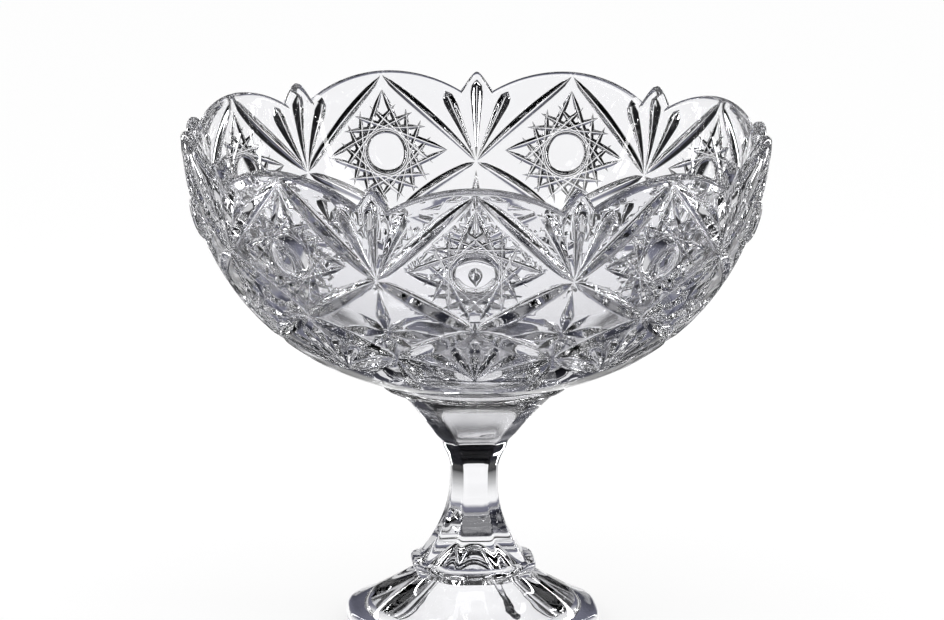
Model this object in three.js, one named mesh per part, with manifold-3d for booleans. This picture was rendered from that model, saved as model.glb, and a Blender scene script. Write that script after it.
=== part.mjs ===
// Footed fruit bowl of clear pressed glass: a scalloped, cut-pattern bowl bonded to a faceted pedestal.
// Millimetres, +Z up. The origin is the centre of the foot's underside and the front faces -Y.

import * as THREE from 'three';
import { mergeVertices } from 'three/addons/utils/BufferGeometryUtils.js';
import Module from 'manifold-3d';

const wasm = await Module();
wasm.setup();

// Bowl: wall and base
const RIM_RADIUS = 115;
const BOWL_DEPTH = 102.7; // scallop tops down to the seat
const WALL_THICKNESS = 5.5;
const FLOOR_THICKNESS = 10;
const WALL_SPREAD = 2.4; // superellipse exponent along the radius
const WALL_DROP = 2.2; // superellipse exponent along the height
const WIDEST_ABOVE_RIM = 10; // the wall still leans out a little at the rim
const BOSS_RADIUS = 36.8; // round edge under the bowl, above the pedestal
const BOSS_EDGE = 2.4; // height of that edge

// Bowl: scalloped rim
const SCALLOPS = 9;
const SCALLOP_RISE = 9.2; // from the notch beside a knob to the top of the scallop
const KNOB_DROP = 1.5; // knob tips lie this far below the scallop tops
const KNOB_HALF_WIDTH = 6.7;
const KNOB_SLOPE = 1.5; // rise over run of a knob's straight flanks
const KNOB_TIP_SOFTNESS = 2.6;
const RIM_ROUNDING = 2; // how far the rounded edge reaches in from each face
const RIM_ROUNDING_HEIGHT = 3.2; // and how far down the wall

// Bowl: cut pattern
const MITRE_WIDTH = 5;
const MITRE_DEPTH = 1.9;
const LEAF_WIDTH = 4.6;
const LEAF_DEPTH = 1.7;
const BUTTON_RADIUS = 7.5;
const BUTTON_RISE = 1.2;
const RING_WIDTH = 2.2; // sunk floor round the button
const STAR_RAYS = 16;
const STAR_RADIUS = 20;
const STAR_LONG_RADIUS = 26; // the rays that point to the lozenge's side corners
const STAR_NOTCH_RADIUS = 13.5; // where two rays meet
const STAR_DEPTH = 1.5;
const SMALL_STAR_RAYS = 8;
const SMALL_STAR_RADIUS = 12;
const SMALL_STAR_LONG_RADIUS = 16; // the upright rays
const SMALL_STAR_NOTCH_RADIUS = 3.6;
const NODE_CLEARANCE = 2.5; // leaves stop this far from a crossing of mitres
const MITRE_CLEARANCE = 1.2; // mitres fade out this far from their crossing

// Bond between bowl and pedestal
const FILM_THICKNESS = 0.3;
const FILM_INSET = 1.5; // the film stops this far inside the pedestal's top

// Pedestal
const PEDESTAL_HEIGHT = 97;
const PEDESTAL_TURN = 5; // degrees from the front to the front facet, towards +X
const TOP_HALF_WIDTH = 28.7;
const WAIST_HEIGHT = 59; // below it the stem spreads to the collar
const WAIST_LENGTH = 4; // and above this straight length it flares to the top
const WAIST_HALF_WIDTH = 9.1;
const SPREAD_EXPONENT = 2.05; // how sharply the stem spreads below its waist
const SPREAD_SINK = 2.6; // the spread would end this far below the middle of the collar's edge
const CREASE_BELOW_TOP = 21; // a shallow crease rings the stem under the flare
const CREASE_REACH = 2.2;
const CREASE_DEPTH = 0.7;
const COLLAR_HALF_WIDTH = 24.2;
const COLLAR_HEIGHT = 25.4;
const COLLAR_LIP = 2; // radius of the collar's rounded edge
const LIP_UNDER_ANGLE = -75; // where that edge starts, in degrees
const LIP_TOP_ANGLE = 60; // and where it ends
const LEDGE_RISE = 0.3; // the stem stands this far above the end of that edge
const NECK_INSET = 1.7; // the neck under the collar, against the collar's half width
const NECK_DROP = 3.8; // and the foot's sloping top, against the collar's height
const FOOT_HALF_WIDTH = 49.7;
const FOOT_EDGE_RADIUS = 4.4;
const FOOT_FLOOR_ANGLE = -60; // where the rounded edge meets the floor, in degrees
const FOOT_SHOULDER_ANGLE = 62; // and where it meets the sloping top
const FOOT_DISH = 1.12; // above 1 the sloping top sags a little
const HOLLOW_RADIUS = 38;
const HOLLOW_SHOULDER_HEIGHT = 6;
const HOLLOW_HEIGHT = 31;
const HOLLOW_DOME_RADIUS = 18; // the dome in the hollow's middle, before it spreads

// Where a broad facet ends, as a share of its half width: 1 is a plain square and 0.41 a regular octagon
const FOOT_RIDGE = 0.43;
const COLLAR_RIDGE = 0.43;
const WAIST_RIDGE = 0.5;
const TOP_RIDGE = 0.74;
const TOP_CLOSING = 2.5; // a higher number keeps the corner facets open for longer

// A higher number gives crisper ridges between the eight facets
const FOOT_CRISPNESS = 12;
const COLLAR_CRISPNESS = 26;
const STEM_CRISPNESS = 44;

// Mesh resolution
const WALL_SEGMENTS = 45;
const OUTER_STEPS = 8;
const INNER_STEPS = 8;
const BUTTON_SEGMENTS = 12;
const EDGE_STEPS = 5;
const SLOPE_STEPS = 4;
const LIP_STEPS = 3;
const STEM_STEPS = 15;
const HOLLOW_SEGMENTS = 36;
const OVERSHOOT = 1.5; // cutters stand this far out of the wall

// Levels that follow from the sizes above
const SEAT_HEIGHT = PEDESTAL_HEIGHT + FILM_THICKNESS;
const WALL_POLE = SEAT_HEIGHT;
const RIM_HEIGHT = WALL_POLE + BOWL_DEPTH;
const WIDEST_HEIGHT = RIM_HEIGHT + WIDEST_ABOVE_RIM;
const KNOB_TIP_HEIGHT = RIM_HEIGHT - KNOB_DROP;
const FLARE_START_HEIGHT = WAIST_HEIGHT + WAIST_LENGTH;
const FLARE_RISE = PEDESTAL_HEIGHT - FLARE_START_HEIGHT;
const FLARE_SLOPE = Math.sqrt(TOP_HALF_WIDTH ** 2 - WAIST_HALF_WIDTH ** 2) / FLARE_RISE;
const SPREAD_END_HEIGHT = COLLAR_HEIGHT - SPREAD_SINK;
const CREASE_HEIGHT = PEDESTAL_HEIGHT - CREASE_BELOW_TOP;
const NECK_HALF_WIDTH = COLLAR_HALF_WIDTH - NECK_INSET;
const NECK_HEIGHT = COLLAR_HEIGHT - NECK_DROP;
const PERIOD = (2 * Math.PI) / SCALLOPS;
const HALF_PERIOD = PERIOD / 2;

// Rows of mitre crossings, as shares of the wall's height: odd rows under scallops, even rows under knobs
const ROW_SHARES = [0.977, 0.641, 0.432, 0.296, 0.189];
const STAR_SHARE = 0.675;
const SMALL_STAR_SHARE = 0.388;
const FAN_TOP_SHARE = 0.915;
const FOOT_LEAF_SHARE = 0.105;

const GLASS = { color: 0xe6eef0, roughness: 0.04, metalness: 0 };
const CURED_FILM = { color: 0xeef2ee, roughness: 0.15, metalness: 0 };

// Solids and meshes

function toSolid(geometry) {
  const bare = geometry.clone();
  bare.deleteAttribute('normal');
  bare.deleteAttribute('uv');
  const merged = mergeVertices(bare, 1e-4);
  const index = merged.index.array;
  const triangles = [];
  for (let i = 0; i < index.length; i += 3) {
    const [a, b, c] = [index[i], index[i + 1], index[i + 2]];
    if (a !== b && b !== c && c !== a) triangles.push(a, b, c);
  }
  return new wasm.Manifold(new wasm.Mesh({
    numProp: 3,
    vertProperties: new Float32Array(merged.attributes.position.array),
    triVerts: new Uint32Array(triangles),
  }));
}

function toMesh(solid, name, finish) {
  const { vertProperties, triVerts } = solid.getMesh();
  const geometry = new THREE.BufferGeometry();
  geometry.setAttribute('position', new THREE.BufferAttribute(vertProperties, 3));
  geometry.setIndex(new THREE.BufferAttribute(triVerts, 1));
  geometry.computeVertexNormals();
  const mesh = new THREE.Mesh(geometry, new THREE.MeshStandardMaterial(finish));
  mesh.name = name;
  return mesh;
}

// Skin over a row of like rings of points; an open row is capped at both ends
function loft(rings, isLoop = false) {
  const sides = rings[0].length;
  const positions = rings.flat().flatMap((point) => point.toArray());
  const index = [];
  const spans = isLoop ? rings.length : rings.length - 1;
  for (let i = 0; i < spans; i++) {
    const here = i * sides;
    const next = ((i + 1) % rings.length) * sides;
    for (let j = 0; j < sides; j++) {
      const k = (j + 1) % sides;
      index.push(here + j, here + k, next + k, here + j, next + k, next + j);
    }
  }
  if (!isLoop) {
    const last = (rings.length - 1) * sides;
    for (let j = 1; j < sides - 1; j++) {
      index.push(0, j + 1, j, last, last + j, last + j + 1);
    }
  }
  const geometry = new THREE.BufferGeometry();
  geometry.setAttribute('position', new THREE.Float32BufferAttribute(positions, 3));
  geometry.setIndex(index);
  return geometry;
}

function revolve(profile, segments) {
  const points = profile.map(([radius, height]) => new THREE.Vector2(radius, height));
  return new THREE.LatheGeometry(points, segments).rotateX(Math.PI / 2);
}

// Bowl wall

function wallPoint2(radius, pole, angle) {
  return [
    radius * Math.sin(angle) ** (2 / WALL_SPREAD),
    WIDEST_HEIGHT - (WIDEST_HEIGHT - pole) * Math.cos(angle) ** (2 / WALL_DROP),
  ];
}

function wallAngle(radius, pole, height) {
  const drop = (WIDEST_HEIGHT - height) / (WIDEST_HEIGHT - pole);
  return Math.acos(Math.min(1, drop) ** (WALL_DROP / 2));
}

function wallRadius(height) {
  return wallPoint2(RIM_RADIUS, WALL_POLE, wallAngle(RIM_RADIUS, WALL_POLE, height))[0];
}

function wallHeight(share) {
  return WALL_POLE + share * BOWL_DEPTH;
}

// Slope of the outer wall in its own profile: radius gained for each unit of height
function wallSlope(height) {
  const step = 0.05;
  return (wallRadius(height + step) - wallRadius(height - step)) / (2 * step);
}

// Frame on the outer wall; azimuth 0 is the front and grows towards +X
function wallFrame(azimuth, height) {
  const radius = wallRadius(height);
  const slope = wallSlope(height);
  const outward = new THREE.Vector3(Math.sin(azimuth), -Math.cos(azimuth), 0);
  const up = new THREE.Vector3(0, 0, 1);
  return {
    point: outward.clone().multiplyScalar(radius).addScaledVector(up, height),
    normal: outward.clone().addScaledVector(up, -slope).normalize(),
    rise: outward.clone().multiplyScalar(slope).add(up).normalize(),
    across: new THREE.Vector3(Math.cos(azimuth), Math.sin(azimuth), 0),
  };
}

// Place on the wall at a distance and bearing from a centre; bearing 0 points up the wall
function wallOffset([azimuth, height], distance, bearing) {
  const rise = 1 / Math.hypot(1, wallSlope(height));
  return [
    azimuth + (distance * Math.sin(bearing)) / wallRadius(height),
    height + distance * Math.cos(bearing) * rise,
  ];
}

// Rim

function rimHeight(azimuth) {
  const offset = azimuth - PERIOD * Math.round(azimuth / PERIOD);
  const scallopHalf = HALF_PERIOD * RIM_RADIUS - KNOB_HALF_WIDTH;
  const scallopRadius = (scallopHalf ** 2 + SCALLOP_RISE ** 2) / (2 * SCALLOP_RISE);
  const along = Math.min(Math.abs(offset) * RIM_RADIUS, scallopRadius);
  const scallop = RIM_HEIGHT - scallopRadius + Math.sqrt(scallopRadius ** 2 - along ** 2);
  const fromKnob = (HALF_PERIOD - Math.abs(offset)) * RIM_RADIUS;
  const knob = KNOB_TIP_HEIGHT + KNOB_TIP_SOFTNESS - Math.hypot(KNOB_SLOPE * fromKnob, KNOB_TIP_SOFTNESS);
  return Math.max(scallop, knob);
}

// Everything above the scalloped edge, with an arched underside that leaves the edge rounded
function rimCutter() {
  const knobHalf = KNOB_HALF_WIDTH / RIM_RADIUS;
  const notch = HALF_PERIOD - knobHalf;
  const scallopStops = [0, 0.4, 0.75, 1].map((share) => share * notch);
  const knobStops = [0.45, 0.18].map((share) => HALF_PERIOD - share * knobHalf);
  const half = [...scallopStops, ...knobStops];
  const stops = [...half, HALF_PERIOD, ...half.slice(1).reverse().map((stop) => PERIOD - stop)];
  const halfWall = WALL_THICKNESS / 2;
  const arch = [
    [halfWall + RIM_ROUNDING, -2.6 * RIM_ROUNDING_HEIGHT],
    [halfWall - 0.3 * RIM_ROUNDING, -0.55 * RIM_ROUNDING_HEIGHT],
    [halfWall - RIM_ROUNDING, 0],
  ];
  const underside = [...arch, ...arch.toReversed().map(([across, drop]) => [-across, drop])];
  const rings = [];
  for (let i = 0; i < SCALLOPS; i++) {
    for (const stop of stops) {
      const azimuth = i * PERIOD + stop;
      const level = rimHeight(azimuth);
      const middle = wallRadius(level) - halfWall;
      const top = RIM_HEIGHT + 4 * RIM_ROUNDING;
      const section = underside.map(([across, drop]) => [middle + across, level + drop]);
      const cap = [[section.at(-1)[0], top], [section[0][0], top]];
      rings.push([...section, ...cap].map(([radius, height]) => new THREE.Vector3(
        radius * Math.sin(azimuth), -radius * Math.cos(azimuth), height)));
    }
  }
  return loft(rings, true);
}

// Cut pattern

const LONG_MITRE_FORM = [[0, -0.05], [0.25, 0.95], [0.75, 0.95], [1, -0.05]];
const SHORT_MITRE_FORM = [[0, -0.05], [0.5, 1], [1, -0.05]];
const LEAF_FORM = [[0, -0.05], [0.55, 1], [1, -0.05]];

// V-shaped groove along the wall; its form lists how deep it is, as a share, along its length
function groove(from, to, width, depth, form) {
  const rings = form.map(([share, deep]) => {
    const azimuth = from[0] + (to[0] - from[0]) * share;
    const height = from[1] + (to[1] - from[1]) * share;
    const { point, normal, rise, across } = wallFrame(azimuth, height);
    const run = across.clone().multiplyScalar((to[0] - from[0]) * wallRadius(height));
    run.addScaledVector(rise, (to[1] - from[1]) * Math.hypot(1, wallSlope(height))).normalize();
    const side = new THREE.Vector3().crossVectors(run, normal);
    const reach = ((deep * depth + OVERSHOOT) * width) / (2 * depth);
    const outer = point.clone().addScaledVector(normal, OVERSHOOT);
    return [
      point.clone().addScaledVector(normal, -deep * depth),
      outer.clone().addScaledVector(side, -reach),
      outer.clone().addScaledVector(side, reach),
    ];
  });
  return toSolid(loft(rings));
}

function shorten(from, to, startGap, endGap) {
  const radius = wallRadius((from[1] + to[1]) / 2);
  const slant = Math.hypot(1, wallSlope((from[1] + to[1]) / 2));
  const length = Math.hypot((to[0] - from[0]) * radius, (to[1] - from[1]) * slant);
  const at = (share) => [from[0] + (to[0] - from[0]) * share, from[1] + (to[1] - from[1]) * share];
  return [at(startGap / length), at(1 - endGap / length)];
}

function leaf(from, to) {
  return groove(...shorten(from, to, NODE_CLEARANCE, 0), LEAF_WIDTH, LEAF_DEPTH, LEAF_FORM);
}

// Star-shaped cut: each ray is a V that climbs from a sunk floor at the centre to a point on the wall
function starCut(centre, reaches, notchReach, floorReach, depth) {
  const rays = reaches.length;
  const at = (reach, bearing, lift) => {
    const { point, normal } = wallFrame(...wallOffset(centre, reach, bearing));
    return point.addScaledVector(normal, lift).toArray();
  };
  const positions = [at(0, 0, -depth), at(0, 0, 2 * OVERSHOOT)];
  for (let i = 0; i < rays; i++) {
    const bearing = (i * 2 * Math.PI) / rays;
    positions.push(at(floorReach, bearing, -depth), at(reaches[i], bearing, 0.1));
    positions.push(at(notchReach, bearing + Math.PI / rays, 0.1));
  }
  const index = [];
  for (let i = 0; i < rays; i++) {
    const [floor, tip, notch] = [2 + 3 * i, 3 + 3 * i, 4 + 3 * i];
    const nextFloor = 2 + 3 * ((i + 1) % rays);
    const lastNotch = 4 + 3 * ((i + rays - 1) % rays);
    index.push(floor, lastNotch, tip, floor, tip, notch, floor, notch, nextFloor);
    index.push(0, floor, nextFloor, 1, tip, lastNotch, 1, notch, tip);
  }
  const geometry = new THREE.BufferGeometry();
  geometry.setAttribute('position', new THREE.Float32BufferAttribute(positions.flat(), 3));
  geometry.setIndex(index);
  return toSolid(geometry);
}

function hobstar(centre) {
  const reaches = Array.from({ length: STAR_RAYS }, (_, i) => (
    i % (STAR_RAYS / 2) === STAR_RAYS / 4 ? STAR_LONG_RADIUS : STAR_RADIUS));
  return starCut(centre, reaches, STAR_NOTCH_RADIUS, BUTTON_RADIUS + RING_WIDTH, STAR_DEPTH);
}

function smallStar(centre) {
  const reaches = Array.from({ length: SMALL_STAR_RAYS }, (_, i) => (
    i % (SMALL_STAR_RAYS / 2) === 0 ? SMALL_STAR_LONG_RADIUS : SMALL_STAR_RADIUS));
  return starCut(centre, reaches, SMALL_STAR_NOTCH_RADIUS, 0, LEAF_DEPTH);
}

// One of the repeats: lozenges of mitres, each filled with its star or fan
function patternCuts(azimuth) {
  const rows = ROW_SHARES.map(wallHeight);
  const crossing = (row, side) => [azimuth + side * (row % 2 ? HALF_PERIOD : 0), rows[row]];
  const cuts = [];
  for (const side of [-1, 1]) {
    for (let row = 0; row < rows.length - 1; row++) {
      const form = row < 2 ? LONG_MITRE_FORM : SHORT_MITRE_FORM;
      const ends = shorten(crossing(row, side), crossing(row + 1, side), MITRE_CLEARANCE, MITRE_CLEARANCE);
      cuts.push(groove(...ends, MITRE_WIDTH, MITRE_DEPTH, form));
    }
  }
  cuts.push(hobstar([azimuth, wallHeight(STAR_SHARE)]));
  cuts.push(smallStar([azimuth + HALF_PERIOD, wallHeight(SMALL_STAR_SHARE)]));
  const fanRoot = crossing(1, 1);
  const lowFanRoot = crossing(4, 1);
  const lowFanTop = rows[2] - 2 * NODE_CLEARANCE;
  for (const share of [-0.3, 0, 0.3]) {
    cuts.push(leaf(fanRoot, [fanRoot[0] + share * HALF_PERIOD, wallHeight(FAN_TOP_SHARE)]));
    const top = lowFanTop - Math.abs(share) * (rows[2] - rows[3]);
    cuts.push(leaf(lowFanRoot, [lowFanRoot[0] + share * HALF_PERIOD, top]));
  }
  cuts.push(leaf(crossing(3, 1), [azimuth + HALF_PERIOD, wallHeight(FOOT_LEAF_SHARE)]));
  return cuts;
}

function onWall(geometry, [azimuth, height]) {
  const { point, normal, rise, across } = wallFrame(azimuth, height);
  return geometry.applyMatrix4(new THREE.Matrix4().makeBasis(across, rise, normal).setPosition(point));
}

// Domed button that stands on the hobstar's sunk floor
function button(centre) {
  const root = -2 * STAR_DEPTH;
  const profile = [[0, root], [BUTTON_RADIUS, root], [BUTTON_RADIUS, -0.5 * STAR_DEPTH]];
  for (const share of [0.75, 0.4]) profile.push([share * BUTTON_RADIUS, BUTTON_RISE * (1 - share ** 2)]);
  profile.push([0, BUTTON_RISE]);
  return toSolid(onWall(revolve(profile, BUTTON_SEGMENTS), centre));
}

function makeBowl() {
  const innerRadius = RIM_RADIUS - WALL_THICKNESS;
  const innerPole = WALL_POLE + FLOOR_THICKNESS;
  const top = RIM_HEIGHT + RIM_ROUNDING;
  const sweep = (radius, pole, from, to, steps) => Array.from({ length: steps + 1 }, (_, i) => (
    wallPoint2(radius, pole, from + ((to - from) * i) / steps)));
  const bossAngle = Math.asin(((BOSS_RADIUS + BOSS_EDGE) / RIM_RADIUS) ** (WALL_SPREAD / 2));
  const outerTop = wallAngle(RIM_RADIUS, WALL_POLE, top);
  const innerTop = wallAngle(innerRadius, innerPole, top);
  const profile = [
    [0, SEAT_HEIGHT],
    [BOSS_RADIUS - 0.35 * BOSS_EDGE, SEAT_HEIGHT],
    [BOSS_RADIUS, SEAT_HEIGHT + 0.4 * BOSS_EDGE],
    [BOSS_RADIUS, SEAT_HEIGHT + BOSS_EDGE],
    ...sweep(RIM_RADIUS, WALL_POLE, bossAngle, outerTop, OUTER_STEPS),
    ...sweep(innerRadius, innerPole, innerTop, 0, INNER_STEPS),
  ];
  let bowl = toSolid(revolve(profile, WALL_SEGMENTS)).subtract(toSolid(rimCutter()));
  for (let i = 0; i < SCALLOPS; i++) {
    const azimuth = i * PERIOD;
    for (const cut of patternCuts(azimuth)) bowl = bowl.subtract(cut);
    bowl = bowl.add(button([azimuth, wallHeight(STAR_SHARE)]));
  }
  return toMesh(bowl, 'bowl', GLASS);
}

// Bond film

function makeBondFilm() {
  const outline = (height) => facetSection([TOP_HALF_WIDTH - FILM_INSET, height, TOP_RIDGE, STEM_CRISPNESS]);
  return toMesh(toSolid(loft([outline(PEDESTAL_HEIGHT), outline(SEAT_HEIGHT)])), 'bond_film', CURED_FILM);
}

// Pedestal

// Eight-sided section: four broad facets at the half width and four corner facets, with soft ridges
function facetSection([halfWidth, height, ridgeShare, crispness]) {
  const cornerDistance = (halfWidth * (1 + ridgeShare)) / Math.SQRT2;
  const ridge = Math.atan(ridgeShare);
  const bearings = [-1, -0.8, 0, 0.8, 1].map((share) => share * ridge);
  bearings.push((ridge + Math.PI / 4) / 2, Math.PI / 4, Math.PI / 2 - (ridge + Math.PI / 4) / 2);
  const section = [];
  for (let quarter = 0; quarter < 4; quarter++) {
    for (const bearing of bearings) {
      let sum = 0;
      for (let facet = -1; facet <= 2; facet++) {
        const lean = Math.max(0, Math.cos(bearing - (facet * Math.PI) / 4));
        sum += (lean / (facet % 2 ? cornerDistance : halfWidth)) ** crispness;
      }
      const radius = sum ** (-1 / crispness);
      const turn = bearing + (quarter * Math.PI) / 2 + THREE.MathUtils.degToRad(PEDESTAL_TURN);
      section.push(new THREE.Vector3(radius * Math.cos(turn), radius * Math.sin(turn), height));
    }
  }
  return section;
}

// Rounded edge in the outline, from one angle to another in degrees, as [half width, height]
function roundedEdge([halfWidth, height], radius, from, to, steps) {
  return Array.from({ length: steps + 1 }, (_, i) => {
    const angle = THREE.MathUtils.degToRad(THREE.MathUtils.lerp(from, to, i / steps));
    return [halfWidth + radius * Math.cos(angle), height + radius * Math.sin(angle)];
  });
}

// Stem between the collar and the top, with a shallow crease under its flare
function stemPoint(height) {
  const { lerp } = THREE.MathUtils;
  if (height < WAIST_HEIGHT) {
    const share = (WAIST_HEIGHT - height) / (WAIST_HEIGHT - SPREAD_END_HEIGHT);
    const halfWidth = lerp(WAIST_HALF_WIDTH, COLLAR_HALF_WIDTH, share ** SPREAD_EXPONENT);
    return [halfWidth, height, lerp(WAIST_RIDGE, COLLAR_RIDGE, share), STEM_CRISPNESS];
  }
  const share = (height - WAIST_HEIGHT) / (PEDESTAL_HEIGHT - WAIST_HEIGHT);
  const flare = FLARE_SLOPE * Math.max(0, height - FLARE_START_HEIGHT);
  const crease = CREASE_DEPTH * Math.max(0, 1 - Math.abs(height - CREASE_HEIGHT) / CREASE_REACH);
  const halfWidth = Math.hypot(WAIST_HALF_WIDTH, flare) - crease;
  return [halfWidth, height, lerp(WAIST_RIDGE, TOP_RIDGE, share ** TOP_CLOSING), STEM_CRISPNESS];
}

// Foot from the floor over its rounded edge and up its sloping top to the neck
function footOutline() {
  const { degToRad, lerp } = THREE.MathUtils;
  const edgeHeight = -FOOT_EDGE_RADIUS * Math.sin(degToRad(FOOT_FLOOR_ANGLE));
  const edgeCentre = [FOOT_HALF_WIDTH - FOOT_EDGE_RADIUS, edgeHeight];
  const edge = roundedEdge(edgeCentre, FOOT_EDGE_RADIUS, FOOT_FLOOR_ANGLE, FOOT_SHOULDER_ANGLE, EDGE_STEPS);
  const outline = edge.map((point) => [...point, FOOT_RIDGE, FOOT_CRISPNESS]);
  const [shoulderHalfWidth, shoulderHeight] = edge.at(-1);
  for (let i = 1; i <= SLOPE_STEPS; i++) {
    const share = i / SLOPE_STEPS;
    outline.push([
      lerp(shoulderHalfWidth, NECK_HALF_WIDTH, share),
      lerp(shoulderHeight, NECK_HEIGHT, share ** FOOT_DISH),
      FOOT_RIDGE,
      lerp(FOOT_CRISPNESS, COLLAR_CRISPNESS, share ** 3),
    ]);
  }
  return outline;
}

// Outline of the pedestal from the floor up, as [half width, height, ridge share, crispness]
function pedestalOutline() {
  const lipCentre = [COLLAR_HALF_WIDTH - COLLAR_LIP, COLLAR_HEIGHT];
  const lip = roundedEdge(lipCentre, COLLAR_LIP, LIP_UNDER_ANGLE, LIP_TOP_ANGLE, LIP_STEPS);
  const stemFoot = lip.at(-1)[1] + LEDGE_RISE;
  const heights = Array.from({ length: STEM_STEPS + 1 }, (_, i) => (
    THREE.MathUtils.lerp(stemFoot, PEDESTAL_HEIGHT, i / STEM_STEPS)));
  heights.push(CREASE_HEIGHT - CREASE_REACH, CREASE_HEIGHT, CREASE_HEIGHT + CREASE_REACH);
  heights.sort((a, b) => a - b);
  return [
    ...footOutline(),
    ...lip.map((point) => [...point, COLLAR_RIDGE, COLLAR_CRISPNESS]),
    ...heights.map(stemPoint),
  ];
}

// Space under the foot: a dome in the middle that spreads to a straight-sided ring at the floor
function hollowProfile() {
  const dome = (share) => [
    HOLLOW_DOME_RADIUS * Math.sqrt(1 - share) + (HOLLOW_RADIUS - HOLLOW_DOME_RADIUS) * (1 - share) ** 3,
    THREE.MathUtils.lerp(HOLLOW_SHOULDER_HEIGHT, HOLLOW_HEIGHT, share),
  ];
  return [
    [0, -OVERSHOOT],
    [HOLLOW_RADIUS, -OVERSHOOT],
    ...[0, 0.1, 0.22, 0.4, 0.6, 0.8, 0.93].map(dome),
    [0, HOLLOW_HEIGHT],
  ];
}

function makePedestal() {
  const body = toSolid(loft(pedestalOutline().map(facetSection)));
  const hollow = toSolid(revolve(hollowProfile(), HOLLOW_SEGMENTS));
  return toMesh(body.subtract(hollow), 'pedestal', GLASS);
}

const fruitBowl = new THREE.Group();
fruitBowl.add(makePedestal(), makeBondFilm(), makeBowl());

export default fruitBowl;
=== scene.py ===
"""A footed fruit bowl of clear pressed glass, dressed for a studio picture.

Sizes are in millimetres until a mesh is made, and the scene is in metres.
Azimuth 0 is the photographed front, towards -Y, and azimuths grow towards +X.
"""
import logging
import math
from dataclasses import dataclass, field
from enum import Enum
from functools import cached_property
from typing import Callable, Sequence

import bmesh
import bpy
import numpy as np
from mathutils import Matrix, Vector


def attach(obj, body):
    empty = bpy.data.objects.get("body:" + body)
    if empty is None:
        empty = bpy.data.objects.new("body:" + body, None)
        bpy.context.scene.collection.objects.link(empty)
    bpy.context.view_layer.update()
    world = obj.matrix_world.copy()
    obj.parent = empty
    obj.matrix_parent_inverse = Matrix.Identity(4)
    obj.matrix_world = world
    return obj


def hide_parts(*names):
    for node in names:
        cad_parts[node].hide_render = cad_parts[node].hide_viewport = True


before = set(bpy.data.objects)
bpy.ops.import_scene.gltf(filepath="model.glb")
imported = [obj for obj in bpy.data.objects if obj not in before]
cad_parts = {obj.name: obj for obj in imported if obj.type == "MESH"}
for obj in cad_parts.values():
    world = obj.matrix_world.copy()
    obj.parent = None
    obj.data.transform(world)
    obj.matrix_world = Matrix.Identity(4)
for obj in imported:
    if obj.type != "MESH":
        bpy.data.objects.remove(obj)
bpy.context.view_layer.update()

LOG = logging.getLogger("fruit_bowl")
MM = 0.001

Place = tuple[float, float]
Span = tuple[float, float]
Face = tuple[int, ...]
Colour = tuple[float, float, float, float]


class Cut(Enum):
    """How one solid changes another."""

    REMOVE = "DIFFERENCE"
    ADD = "UNION"
    KEEP = "INTERSECT"


class Crossing(Enum):
    """Which line of the repeat a row of mitre crossings lies on."""

    UNDER_SCALLOP = 0.0
    UNDER_KNOB = 1.0


@dataclass(frozen=True)
class Solid:
    """A closed skin of faces that face outwards, in millimetres."""

    points: np.ndarray
    faces: list[Face]

    def to_mesh(self, name: str, scale: float = 1.0) -> bpy.types.Mesh:
        """Make a mesh from the skin.

        Args:
            name: Name of the new mesh.
            scale: Factor on every coordinate.

        Returns:
            The new mesh.
        """
        mesh = bpy.data.meshes.new(name)
        mesh.from_pydata((self.points * scale).tolist(), [], self.faces)
        mesh.validate()
        return mesh


def loft(rings: Sequence[np.ndarray]) -> Solid:
    """Skin a row of like rings and cap both ends.

    Args:
        rings: Arrays of points, each ring with the same count.

    Returns:
        The closed skin.
    """
    sides = len(rings[0])
    faces: list[Face] = []
    for i in range(len(rings) - 1):
        here, there = i * sides, (i + 1) * sides
        for j in range(sides):
            k = (j + 1) % sides
            faces.append((here + j, here + k, there + k, there + j))
    last = (len(rings) - 1) * sides
    faces.append(tuple(reversed(range(sides))))
    faces.append(tuple(range(last, last + sides)))
    return Solid(np.concatenate(rings), faces)


def carve(blank: Solid, steps: Sequence[tuple[Cut, Solid]]) -> bpy.types.Mesh:
    """Work a blank with a row of cutters.

    Args:
        blank: Solid to start from.
        steps: Kind of cut and cutter, in order.

    Returns:
        The worked mesh.
    """
    scene = bpy.context.scene
    work = bpy.data.objects.new("blank", blank.to_mesh("blank"))
    scene.collection.objects.link(work)
    cutters = []
    for i, (cut, solid) in enumerate(steps):
        cutter = bpy.data.objects.new(f"cutter_{i}", solid.to_mesh(f"cutter_{i}"))
        scene.collection.objects.link(cutter)
        cutters.append(cutter)
        modifier = work.modifiers.new(f"cut_{i}", "BOOLEAN")
        modifier.operation = cut.value
        modifier.solver = "MANIFOLD"
        modifier.object = cutter
    graph = bpy.context.evaluated_depsgraph_get()
    made = bpy.data.meshes.new_from_object(work.evaluated_get(graph))
    for spare in [work, *cutters]:
        mesh = spare.data
        bpy.data.objects.remove(spare)
        bpy.data.meshes.remove(mesh)
    return made


@dataclass(frozen=True)
class WallFrame:
    """A place on the bowl's outer wall with its three directions."""

    point: np.ndarray
    normal: np.ndarray
    rise: np.ndarray
    across: np.ndarray


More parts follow.
